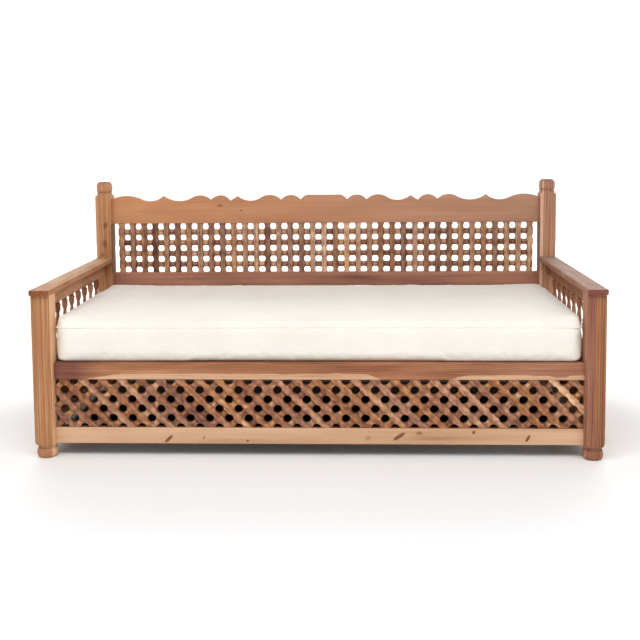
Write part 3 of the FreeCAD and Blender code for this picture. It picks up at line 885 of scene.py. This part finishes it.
SMOOTH = {"interpolation_type": "SMOOTHSTEP"}
RING_SCALE = 314.0  # of the wave texture, over the gap between rings in millimetres
RING_WAVES = {"Distortion": 3.0, "Detail": 2.0, "Detail Scale": 0.6, "Detail Roughness": 0.5}
RINGS_ALONG = 0.05  # how fast the rings change along the grain
WARP, WARP_SCALE = 0.035, (2.2, 11.0, 11.0)
FIBRE_SCALE = (7.0, 420.0, 420.0)
PORE_SCALE = (40.0, 1100.0, 1100.0)
PORES_FROM, PORES_FULL, PORE_DARK = 0.64, 0.72, 0.12
KNOT_REACH, KNOT_PUSH, KNOT_EDGE = 2.6, 1.6, 0.6
# Colour and strength of the painted shade with dirt that each point carries
SHADE_AND_GRIME_COLOUR, SHADE_AND_GRIME_STRENGTH = (50, 24, 12), 0.75
SEED_STEPS = (3.7, 0.31, 0.17)   # from one seed's place in the wood to the next's
STREAKS_TO_FIBRES = 1.3
FIBRE_BUMP, RING_BUMP, BUMP_STRENGTH, BUMP_DEPTH = 0.6, 0.2, 0.35, 0.25 * MM
SHADE_AND_GRIME_ROUGH = 0.35
HUE_TURNS, DULLEST, BRIGHTEST = 7.3, 0.9, 1.06     # of the sticks, picked by their tone


def grain_coordinates(n, along):
    """Places in the wood: first along its grain. From the piece's own attribute, or from the frame's axes."""
    if along is None:
        return n.attribute("grain", "Vector")
    split = n.split(n.place())
    order = {"X": "XZY", "Y": "YZX", "Z": "ZXY"}[along]
    return n.add("CombineXYZ", dict(zip("XYZ", [split[axis] for axis in order])))


def knot(n, split, spot, shift):
    """How much a knot darkens a place, and how far it pushes the grain aside."""
    along, across, radius, stretch, tilt, strength = spot
    run = split["X"] - (along + shift[0])
    rise = split["Y"] - (across + shift[1])
    slant = (run - rise * tilt) / stretch
    away = n.math("SQRT", slant * slant + rise * rise)
    reach = (away / (radius * KNOT_REACH)) ** 2.0
    push = n.math("EXPONENT", reach * -1.0) * (radius * KNOT_PUSH)
    return n.rest(away / radius) ** KNOT_EDGE * strength, push


def rings_and_knots(n, place, shift, ring_gap, knots):
    """The rings in the wood, and how dark its knots make it."""
    split = n.split(place)
    across = split["Y"] + (n.noise(place, WARP_SCALE) - 0.5) * WARP
    knot_dark = 0.0
    for spot in knots:
        dark, push = knot(n, split, spot, shift)
        across, knot_dark = across + push, knot_dark + dark
    log = n.add("CombineXYZ", {"X": split["X"] * RINGS_ALONG, "Y": across, "Z": split["Z"]})
    rings = n.add("TexWave", {"Vector": log, "Scale": RING_SCALE / ring_gap, **RING_WAVES}, "Fac",
                  wave_type="RINGS", rings_direction="X", wave_profile="SAW")
    return rings, knot_dark


def tinted(n, value, stops, drift=None, stain=None, sap=None, hues=0.0, faces=()):
    """The colours of wood along its value.

    drift is a second ramp and stain a colour, each with the span of X over which it fades in. sap gives a mask of
    pale wood. hues is how far sticks differ in hue. faces tint the faces that look along an axis.
    """
    colour = n.ramp(value, stops)
    where = n.split(n.place())["X"]
    if drift:
        other, *span = drift
        colour = n.mix(n.fade(where, *span), colour, n.ramp(value, other))
    if stain:
        shade, *span = stain
        colour = n.mix(n.fade(where, *span), colour, rgb(*shade), "MULTIPLY")
    if sap:
        colour = n.mix(sap(n), colour, n.ramp(value, PALE))
    if hues:
        pick = n.math("FRACT", n.attribute("tone") * HUE_TURNS)
        colour = n.add("HueSaturation", {"Hue": n.range(pick, 0.0, 1.0, 0.5 - hues, 0.5 + hues * 0.5),
                                         "Saturation": n.range(pick, 0.0, 1.0, DULLEST, BRIGHTEST), "Color": colour})
    # Faces that look along an axis can take a tint: painted shade on some faces, darker end grain on others.
    facing = n.normal()
    for axis, tint in faces:
        looks = n.fade(n.math("ABSOLUTE", facing[axis]), 0.6, 0.9)
        colour = n.mix(looks, colour, rgb(*tint), "MULTIPLY")
    return colour


def wood(name, stops, along=None, seed=0, ring_gap=5, ringed=0.3, fibrous=0.45, streak_scale=(1.6, 75, 75),
         broad=1.0, broad_scale=(1.7, 13, 13), toned=0, knots=(), gloss=(0.45, 0.65), specular=0.3, **tints):
    """Wood of rings, fibres and pores, whose shares add up to a place on a ramp of its colours.

    knots are (along, across, radius, stretch along the grain, tilt, strength), in metres.
    """
    n = Nodes(bpy.data.materials.new(name))
    shift = [seed * step for step in SEED_STEPS]
    place = n.add("VectorMath", {0: grain_coordinates(n, along), 1: shift}, operation="ADD")
    rings, knot_dark = rings_and_knots(n, place, shift, ring_gap, knots)
    fibres = n.noise(place, FIBRE_SCALE, detail=3.0, roughness=0.6)
    streaks = n.noise(place, streak_scale, roughness=0.55)
    bands = n.noise(place, broad_scale, distortion=0.4)
    pore = n.fade(n.noise(place, PORE_SCALE, detail=1.0), PORES_FROM, PORES_FULL)
    fields = [(rings, ringed), (fibres, fibrous), (streaks, fibrous * STREAKS_TO_FIBRES), (bands, broad)]
    if toned:
        fields.append((n.attribute("tone"), toned))
    value = 0.5
    for field, strength in fields:
        value = value + (field - 0.5) * strength
    colour = tinted(n, value - pore * PORE_DARK - knot_dark, stops, **tints)
    # The per-point painted shade with dirt darkens the colour and makes the finish rougher.
    shade_and_grime = n.attribute("shade_and_grime")
    rough = n.range(fibres + bands, 0.7, 1.3, *gloss)
    return n.finished({"Base Color": n.mix(shade_and_grime * SHADE_AND_GRIME_STRENGTH, colour, rgb(*SHADE_AND_GRIME_COLOUR)),
                       "Roughness": n.math("ADD", rough, shade_and_grime * SHADE_AND_GRIME_ROUGH, clamp=True),
                       "Normal": n.bump(fibres * FIBRE_BUMP + rings * RING_BUMP - pore, BUMP_STRENGTH, BUMP_DEPTH),
                       "IOR": 1.45, "Specular IOR Level": specular})


# Height of the pale sapwood along the front seat rail's lower edge, as shares of the rail's height
SAP_LINE = [(-1, 0), (-0.84, 0.02), (-0.76, 0.2), (-0.69, 0.33), (-0.5, 0.37), (-0.2, 0.35), (0.15, 0.37),
            (0.21, 0.16), (0.26, 0), (0.44, 0), (0.5, 0.2), (0.6, 0.31), (0.8, 0.27), (0.847, 0.14), (0.89, 0.28),
            (1, 0.33)]
SAP_RAGGED = 0.16


def seat_sap(n):
    """A mask of the sapwood on the front seat rail."""
    place = n.place()
    split = n.split(place)
    curve = n.add("FloatCurve", {"Value": n.fade(split["X"], -1.0, 1.0)})
    mapping = curve.node.mapping
    points = mapping.curves[0].points
    for index, (x, share) in enumerate(SAP_LINE):
        spot = (x / 2 + 0.5, share)
        if index < 2:
            points[index].location = spot
        else:
            points.new(*spot)
    mapping.update()
    ragged = (n.noise(place, (14.0, 14.0, 60.0), detail=3.0) - 0.5) * SAP_RAGGED
    rise = n.fade(split["Z"], low("front_seat_rail").z, high("front_seat_rail").z)
    return n.fade(curve + ragged - rise, -0.02, 0.03) * n.fade(curve, 0.0, 0.04)


THREAD = 1.3 * MM  # from one thread of the cover to the next


def fabric_material():
    """Plain off-white cotton: a fine weave, slubs, a soft sheen."""
    n = Nodes(bpy.data.materials.new("cotton_cover"))
    place = n.place()
    split = n.split(place)
    facing = n.normal()
    wave = {axis: n.math("SINE", split[axis] * (2 * math.pi / THREAD)) for axis in "XYZ"}
    upward, sideways = [n.math("ABSOLUTE", facing[axis]) ** 4.0 for axis in "ZX"]
    weave = wave["X"] * wave["Y"] * upward + (wave["Y"] * wave["Z"] * sideways
                                              + wave["X"] * wave["Z"] * n.rest(upward + sideways))
    slub = (n.noise(place, (30.0, 900.0, 900.0)) + n.noise(place, (900.0, 30.0, 900.0))) * 0.5
    soft = n.noise(place, (5.0, 5.0, 5.0), detail=3.0)
    colour = n.ramp(slub * 0.7 + soft * 0.3, [(0.32, 225, 219, 208), (0.7, 244, 240, 232)])
    return n.finished({"Base Color": colour, "Roughness": 0.9, "Normal": n.bump(weave * 0.5 + slub, 0.3, 0.3 * MM),
                       "Specular IOR Level": 0.2, "Sheen Weight": 0.25, "Sheen Roughness": 0.5})


# A painted shadow on the floor: the spans of |x|, and of y in front and behind, over which it fades in
SHADOW = {"X": (1.09, 0.99), "front": (-0.30, -0.12), "back": (0.80, 0.58)}  # from none to full
FLOOR_PALE, FLOOR_DARK = (0.92, 0.92, 0.92, 1), (0.012, 0.010, 0.008, 1)


def floor_material():
    """Plain and pale, but with a painted shadow, nearly black, where it lies deep under and close behind the closed
    base.
    """
    n = Nodes(bpy.data.materials.new("pale_floor"))
    split = n.split(n.place())
    inside = 1.0
    for value, span in ((n.math("ABSOLUTE", split["X"]), "X"), (split["Y"], "front"), (split["Y"], "back")):
        inside = n.math("MULTIPLY", inside, n.fade(value, *SHADOW[span], **SMOOTH))
    return n.finished({"Base Color": n.mix(inside, FLOOR_PALE, FLOOR_DARK), "Roughness": 0.9,
                       "Specular IOR Level": 0.0})


def finish_node(node, material):
    """Gives a CAD node its material and softens its sharp edges."""
    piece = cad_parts[node]
    piece.data.materials.clear()
    piece.data.materials.append(material)
    weld = piece.modifiers.new("weld", "WELD")
    weld.merge_threshold = 0.01 * MM
    soften = piece.modifiers.new("soften", "BEVEL")
    soften.width = 1.0 * MM
    soften.segments = 2
    soften.limit_method = "ANGLE"
    soften.angle_limit = math.radians(25)


# Colours of the woods, as stops of (place, red, green, blue)
BROWN = [(0.1, 98, 56, 36), (0.4, 148, 94, 64), (0.62, 172, 116, 82), (0.9, 194, 140, 102)]
PURPLISH = [(0.1, 90, 54, 42), (0.4, 142, 91, 70), (0.62, 162, 110, 84), (0.9, 186, 136, 106)]
REDDISH = [(0.1, 92, 52, 42), (0.45, 148, 100, 80), (0.7, 166, 116, 94), (0.95, 188, 138, 114)]
CREST = [(0.1, 140, 90, 56), (0.42, 176, 120, 82), (0.65, 188, 132, 92), (0.92, 204, 150, 110)]
CREST_PINK = [(0.1, 124, 82, 60), (0.42, 156, 112, 88), (0.65, 168, 122, 98), (0.92, 184, 140, 116)]
PALE = [(0.05, 120, 78, 52), (0.35, 192, 148, 112), (0.6, 208, 166, 132), (0.9, 220, 184, 150)]
# The right cap's colours are greyer than the left's: its wood colour with a painted sheen.
CAP_STOPS = {"left": [(0.1, 134, 90, 60), (0.4, 168, 124, 90), (0.62, 186, 146, 112), (0.9, 196, 166, 124)],
             "right": [(0.1, 116, 84, 70), (0.4, 144, 112, 96), (0.62, 160, 130, 116), (0.9, 180, 152, 138)]}
APRON_STOPS = {"left": [(0.1, 120, 74, 48), (0.38, 170, 118, 86), (0.6, 196, 144, 108), (0.9, 214, 166, 130)],
               "right": [(0.1, 92, 54, 34), (0.38, 128, 80, 54), (0.6, 150, 100, 70), (0.9, 176, 126, 94)]}
POST_WARM = [(0.05, 112, 66, 38), (0.32, 158, 106, 68), (0.55, 178, 126, 86), (0.8, 204, 154, 112),
             (1, 226, 180, 138)]
POST_KNOTTY = [(0.05, 96, 54, 28), (0.32, 144, 94, 60), (0.55, 172, 120, 82), (0.8, 194, 144, 100),
               (1, 212, 166, 124)]
POST_RED = [(0.05, 84, 48, 36), (0.32, 136, 86, 66), (0.55, 158, 106, 82), (0.85, 182, 132, 106)]
POST_ORANGE = [(0.05, 92, 52, 30), (0.32, 140, 90, 58), (0.55, 164, 112, 74), (0.85, 186, 134, 94)]
POST_TAN = [(0.05, 112, 74, 52), (0.32, 160, 114, 88), (0.55, 180, 134, 106), (0.8, 206, 158, 130),
            (1, 226, 182, 152)]
STICKS = [(0.02, 84, 44, 28), (0.25, 122, 74, 50), (0.45, 152, 100, 68), (0.65, 176, 122, 84),
          (0.82, 202, 152, 108), (1, 228, 184, 136)]
BACK_STICKS = [(0.02, 86, 50, 36), (0.28, 126, 84, 62), (0.5, 156, 112, 84), (0.72, 180, 136, 102),
               (0.95, 218, 176, 136)]
DECK = [(0.1, 90, 62, 42), (0.45, 128, 94, 64), (0.7, 142, 106, 76), (0.95, 160, 124, 92)]

LOWER_RAIL_KNOTS = [(-0.526, 0.066, 0.014, 0.6, 0.9, 1.5), (-0.4, 0.072, 0.008, 0.5, 0.5, 0.6),
                    (-0.245, 0.06, 0.005, 1, 0, 0.7), (0.29, 0.078, 0.015, 0.8, 1.2, 1.1),
                    (0.551, 0.094, 0.007, 0.8, 0.2, 1), (0.739, 0.072, 0.014, 0.45, 0.5, 1.3),
                    (0.18, 0.07, 0.012, 1, 0.3, 0.25), (0.36, 0.09, 0.01, 1.5, 0, 0.25)]
CREST_KNOTS = [(-0.455, 0.831, 0.006, 2, -0.5, 1.2), (-0.363, 0.809, 0.004, 2, -0.5, 1.2)]
POST_KNOTS = [(0.748, -0.957, 0.012, 1.6, 0.3, 0.35), (0.668, -0.964, 0.014, 1.5, -0.2, 0.3),
              (0.62, -0.976, 0.01, 1.3, 0, 0.25)]
POST_GRAIN = {"toned": 0.9, "fibrous": 0.55, "ring_gap": 8, "ringed": 0.25, "broad": 0.6,
              "streak_scale": (1.2, 110, 110)}
# The caps' sides are tinted a little darker, painted shade; their front and back ends darker still, as end grain.
CAP_WOOD = {"along": "Y", "ring_gap": 6, "ringed": 0.2, "broad_scale": (6, 30, 30),
            "gloss": (0.6, 0.75), "specular": 0.2, "faces": (("X", (248, 226, 214)), ("Y", (196, 150, 138)))}


# The whole

def post_pieces():
    # Inner tones paint light on three posts' inner faces and shade on the back right one's; its paler front edge is
    # painted light.
    post_piece("front_post_left", -1, wood("post_wood_warm", POST_WARM, **POST_GRAIN), tone=0.43, inner_light_and_shade_tone=1.0)
    post_piece("back_post_left", -1, wood("post_wood_knotty", POST_KNOTTY, along="Z", knots=POST_KNOTS, **POST_GRAIN),
               tone=0.62, inner_light_and_shade_tone=0.7)
    post_piece("front_post_right", 1, wood("post_wood_red", POST_RED, drift=(POST_ORANGE, 0.963, 0.966), **POST_GRAIN),
               tone=0.43, inner_light_and_shade_tone=0.65)
    post_piece("back_post_right", 1, wood("post_wood_tan", POST_TAN, **POST_GRAIN), tone=0.42, inner_light_and_shade_tone=0.35,
               edge_painted_light_tone=0.95)


def rails_and_deck():
    """The pieces that keep the CAD's shape."""
    # The lower rails' faces that look up and down are tinted darker: painted shade under the lattice.
    lower = wood("lower_rail_wood", PALE, "X", 3, ringed=0.15, fibrous=0.3,
                 knots=LOWER_RAIL_KNOTS, faces=(("Z", (120, 92, 74)),))
    board = wood("board_wood", DECK, "X", 7)
    looks = {
        "front_seat_rail": wood("seat_rail_wood", BROWN, "X", 1, sap=seat_sap,
                                drift=(PURPLISH, 0.3, 0.9), stain=((188, 178, 204), -0.76, -0.86)),
        "back_seat_rail": wood("plain_rail_wood", BROWN, "X", 8),
        "back_rail": wood("back_rail_wood", REDDISH, "X", 2),
        "front_lower_rail": lower, "back_lower_rail": lower,
        "front_ledger": board, "back_ledger": board, "back_board": board,
    }
    side_seat = wood("side_rail_wood", BROWN, "Y", 4)
    side_lower = wood("side_pale_wood", PALE, "Y", 5)
    for seed, (side, stops) in enumerate(APRON_STOPS.items(), start=9):
        looks["side_seat_rail_" + side] = side_seat
        looks["side_lower_rail_" + side] = side_lower
        looks["arm_apron_" + side] = wood("apron_wood_" + side, stops, "Y", seed, broad_scale=(5, 20, 20))
    deck = wood("deck_wood", DECK, "Y", 6)
    looks.update({node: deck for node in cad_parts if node.startswith("deck_slat_")})
    for node, material in looks.items():
        finish_node(node, material)


def build():
    post_pieces()
    back_lattice(wood("back_lattice_wood", BACK_STICKS, toned=0.6, hues=0.004, broad_scale=(30.0, 50.0, 50.0)))
    base_lattices(wood("base_lattice_wood", STICKS, toned=0.75, hues=0.004, broad=1.2,
                       broad_scale=(45.0, 55.0, 55.0)))
    crest_piece(wood("crest_wood", CREST, ring_gap=7, ringed=0.15, fibrous=0.25,
                     drift=(CREST_PINK, -0.8, 0.8), knots=CREST_KNOTS))
    spindle_pieces(wood("spindle_wood", STICKS, toned=0.45, broad=0.5))
    cap_pieces({side: wood("cap_wood_" + side, stops, **CAP_WOOD) for side, stops in CAP_STOPS.items()})
    mattress_pieces(fabric_material())
    rails_and_deck()


# Floor, light and camera

FLOOR_REACH = 6
LOW_LIGHT, LOW_SPAN = 0.66, (0.35, 0.75)
HIGH_LIGHT = 0.28
BACKGROUND_LIGHT, BACKGROUND_SPAN = 1.15, (0.45, 0.80)
BEHIND_SPAN = (0.15, 0.60)
# Each with its place, its target, its size and its power
SOFTBOXES = {"key": ((-1.2, -2.7, 3.7), (0, 0, 0.3), (3.6, 1.6), 90),
             "fill": ((1.8, -2.9, 3.4), (0, 0, 0.3), (3.0, 1.6), 65),
             "backdrop_left": ((-2.8, 4.6, 2.6), (-2.0, 4.6, 0), (4.0, 3.0), 190),
             "backdrop_right": ((2.8, 4.6, 2.6), (2.0, 4.6, 0), (4.0, 3.0), 190)}
CAMERA_PLACE = Vector((0.1491, -3.7036, 1.1423))
CAMERA_YAW = 0.0401  # radians to the left of straight ahead
CAMERA_PITCH = 0.088  # down
CAMERA_ROLL = -0.0086
FOCAL_PIXELS = 950
PICTURE_PIXELS = 640
OPTICAL_CENTRE_Y = 217.2  # in the photograph, from its top


def floor():
    mesh = bpy.data.meshes.new("floor")
    corners = [(x * FLOOR_REACH, y * FLOOR_REACH, 0) for x, y in ((-1, -1), (1, -1), (1, 1), (-1, 1))]
    mesh.from_pydata(corners, [], [(0, 1, 2, 3)])
    mesh.materials.append(floor_material())
    piece = placed("floor", mesh)


def softbox(name, place, target, size, power):
    light = bpy.data.lights.new(name, "AREA")
    light.shape = "RECTANGLE"
    light.size, light.size_y = size
    light.energy = power
    lamp = placed(name, light)
    lamp.location = place
    lamp.rotation_euler = (Vector(target) - Vector(place)).to_track_quat("-Z", "Y").to_euler()


def daylight():
    """A white room that is brightest low down behind the piece, less bright low down in front and at the sides, and
    dim overhead.
    """
    n = Nodes(bpy.data.worlds.new("studio"))
    split = n.split(n.add("TexCoord", output="Generated"))
    front = n.range(split["Z"], *LOW_SPAN, LOW_LIGHT, HIGH_LIGHT, **SMOOTH)
    behind = n.range(split["Z"], *BACKGROUND_SPAN, BACKGROUND_LIGHT, HIGH_LIGHT, **SMOOTH)
    strength = n.range(split["Y"], *BEHIND_SPAN, front, behind, **SMOOTH)
    n.add("OutputWorld", {"Surface": n.add("Background", {"Color": (1, 1, 1, 1), "Strength": strength})})
    bpy.context.scene.world = n.owner


def camera():
    yaw, pitch, roll = CAMERA_YAW, CAMERA_PITCH, CAMERA_ROLL
    right = Vector((math.cos(yaw), math.sin(yaw), 0))
    level = Vector((-math.sin(yaw), math.cos(yaw), 0))
    forward = level * math.cos(pitch) - Vector((0, 0, math.sin(pitch)))
    up = right.cross(forward)
    image_right = right * math.cos(roll) + up * math.sin(roll)
    image_up = up * math.cos(roll) - right * math.sin(roll)
    data = bpy.data.cameras.new("camera")
    data.sensor_width = 36
    data.lens = FOCAL_PIXELS / PICTURE_PIXELS * data.sensor_width
    data.shift_y = (OPTICAL_CENTRE_Y - PICTURE_PIXELS / 2) / PICTURE_PIXELS
    eye = placed("camera", data)
    turned = Matrix((image_right, image_up, -forward)).transposed().to_4x4()
    eye.matrix_world = Matrix.Translation(CAMERA_PLACE) @ turned
    bpy.context.scene.camera = eye


build()
floor()
daylight()
for lamp_name, lamp_setup in SOFTBOXES.items():
    softbox(lamp_name, *lamp_setup)
camera()
bpy.context.scene.view_settings.view_transform = "Standard"
